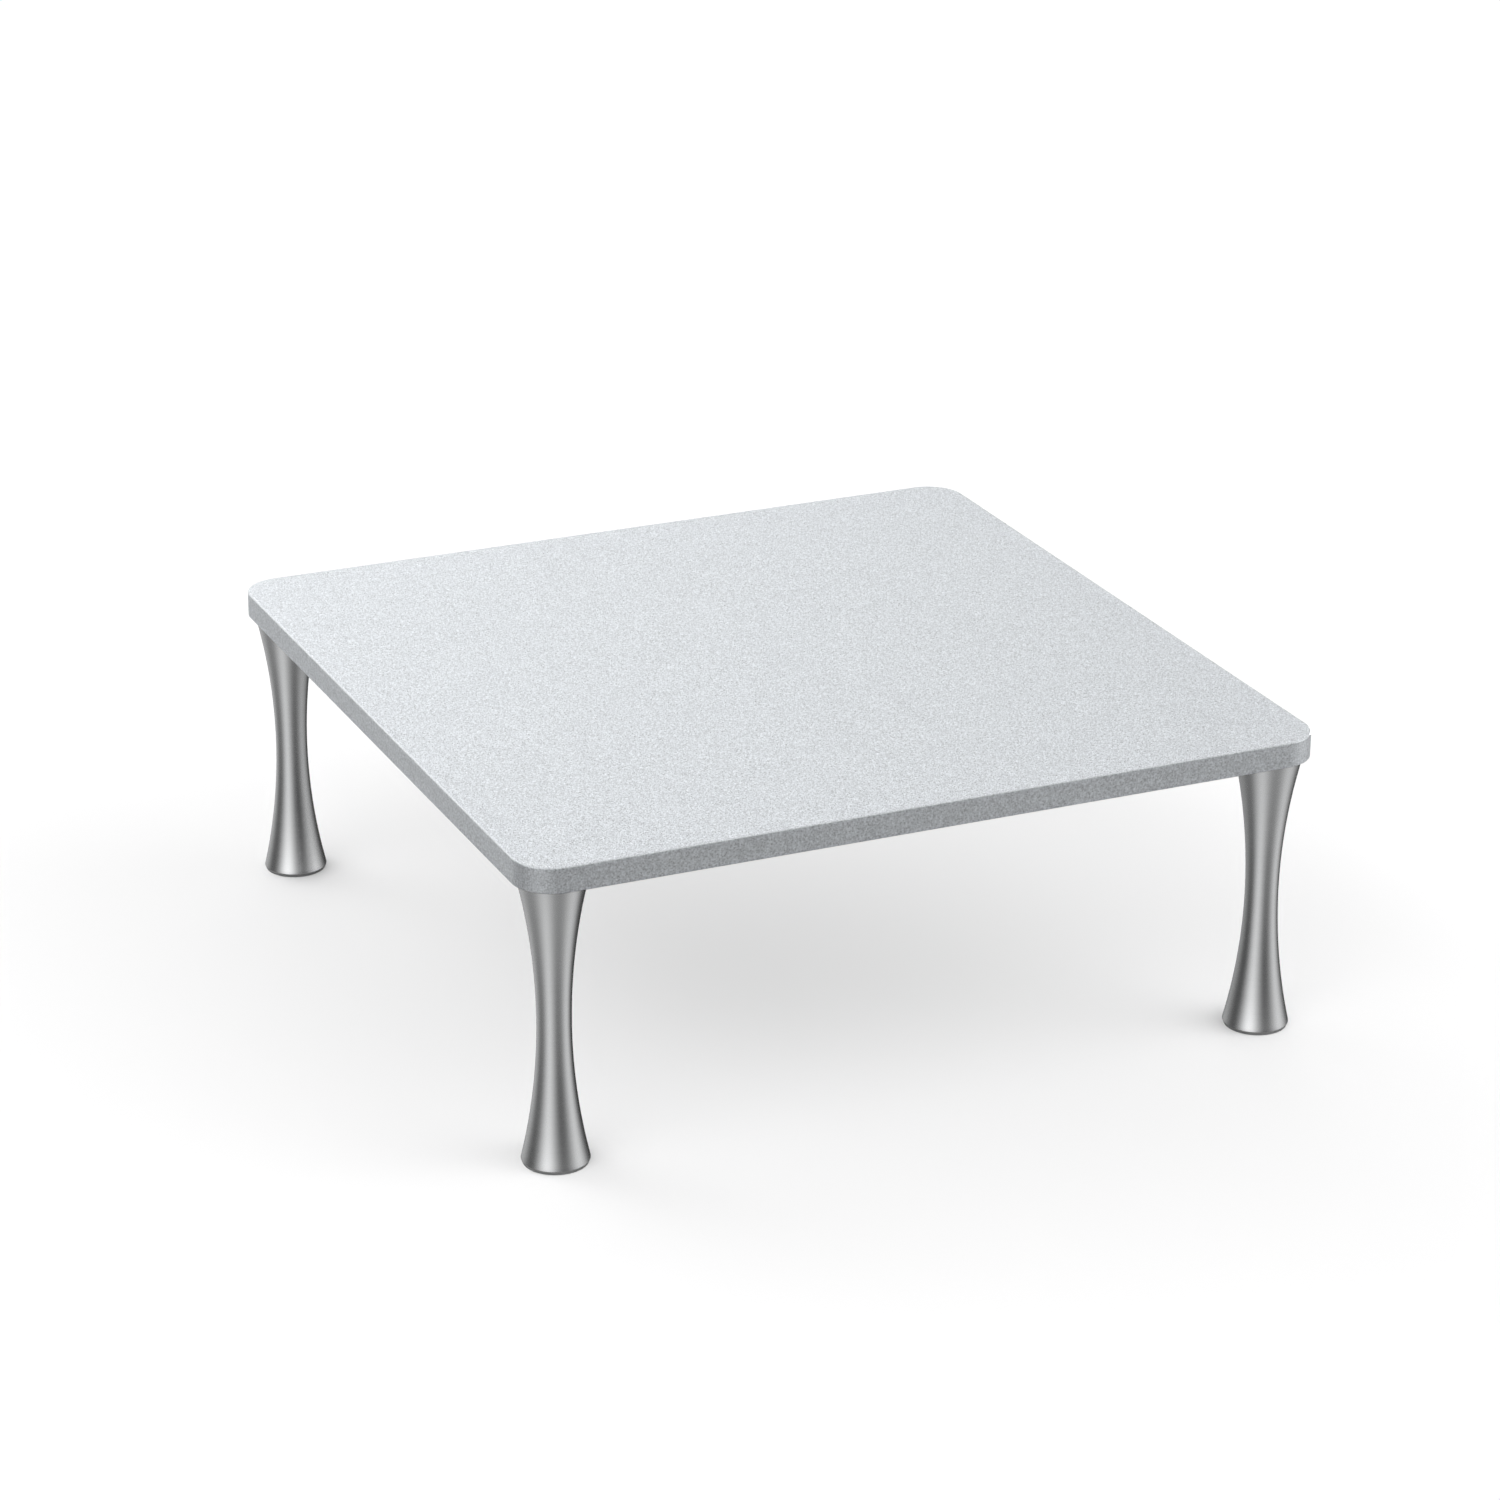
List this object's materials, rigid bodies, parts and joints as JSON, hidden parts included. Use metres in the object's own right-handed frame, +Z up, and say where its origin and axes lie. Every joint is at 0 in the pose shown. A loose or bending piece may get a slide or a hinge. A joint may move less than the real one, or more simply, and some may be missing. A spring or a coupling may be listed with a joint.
{
  "type": "riser stand",
  "caption": "Low square riser stand: a flat plate with rounded corners on turned hourglass legs, modelled as screwed to its underside.",
  "frame": {"origin": "on the floor plane under the middle of the plate", "axes": "+Z up from the feet to the top face, +X and +Y along the plate's edges, -Y towards the front"},
  "size_m": [0.3, 0.3, 0.114],
  "materials": {
    "plate": "fine sand-blasted silver",
    "leg": "satin turned stainless steel",
    "stud": "zinc plated",
    "insert": "machined",
    "washer": "nylon",
    "pad": "matt moulded rubber"
  },
  "bodies": {
    "top": {"top_plate": "plate", "insert_front_left": "insert", "insert_front_right": "insert", "insert_back_left": "insert", "insert_back_right": "insert"},
    "washer_body_front_left": {"washer_front_left": "washer"},
    "leg_body_front_left": {"leg_front_left": "leg", "stud_front_left": "stud", "foot_pad_front_left": "pad"},
    "washer_body_front_right": {"washer_front_right": "washer"},
    "leg_body_front_right": {"leg_front_right": "leg", "stud_front_right": "stud", "foot_pad_front_right": "pad"},
    "washer_body_back_left": {"washer_back_left": "washer"},
    "leg_body_back_left": {"leg_back_left": "leg", "stud_back_left": "stud", "foot_pad_back_left": "pad"},
    "washer_body_back_right": {"washer_back_right": "washer"},
    "leg_body_back_right": {"leg_back_right": "leg", "stud_back_right": "stud", "foot_pad_back_right": "pad"}
  },
  "joints": [
    {"name": "leg_front_left_travel", "type": "slide", "parent": "top", "child": "washer_body_front_left", "axis": [0, 0, -1], "range_m": [0, 0.006]},
    {"name": "leg_front_left_unscrew", "type": "hinge", "parent": "washer_body_front_left", "child": "leg_body_front_left", "pos_m": [-0.1355, -0.1355, 0], "axis": [0, 0, -1], "range_deg": [0, 2160]},
    {"name": "leg_front_right_travel", "type": "slide", "parent": "top", "child": "washer_body_front_right", "axis": [0, 0, -1], "range_m": [0, 0.006]},
    {"name": "leg_front_right_unscrew", "type": "hinge", "parent": "washer_body_front_right", "child": "leg_body_front_right", "pos_m": [0.1355, -0.1355, 0], "axis": [0, 0, -1], "range_deg": [0, 2160]},
    {"name": "leg_back_left_travel", "type": "slide", "parent": "top", "child": "washer_body_back_left", "axis": [0, 0, -1], "range_m": [0, 0.006]},
    {"name": "leg_back_left_unscrew", "type": "hinge", "parent": "washer_body_back_left", "child": "leg_body_back_left", "pos_m": [-0.1355, 0.1355, 0], "axis": [0, 0, -1], "range_deg": [0, 2160]},
    {"name": "leg_back_right_travel", "type": "slide", "parent": "top", "child": "washer_body_back_right", "axis": [0, 0, -1], "range_m": [0, 0.006]},
    {"name": "leg_back_right_unscrew", "type": "hinge", "parent": "washer_body_back_right", "child": "leg_body_back_right", "pos_m": [0.1355, 0.1355, 0], "axis": [0, 0, -1], "range_deg": [0, 2160]}
  ],
  "couplings": [
    {"joint": "leg_front_left_unscrew", "follows": "leg_front_left_travel", "rad_per_m": 6283.2},
    {"joint": "leg_front_right_unscrew", "follows": "leg_front_right_travel", "rad_per_m": 6283.2},
    {"joint": "leg_back_left_unscrew", "follows": "leg_back_left_travel", "rad_per_m": 6283.2},
    {"joint": "leg_back_right_unscrew", "follows": "leg_back_right_travel", "rad_per_m": 6283.2}
  ]
}
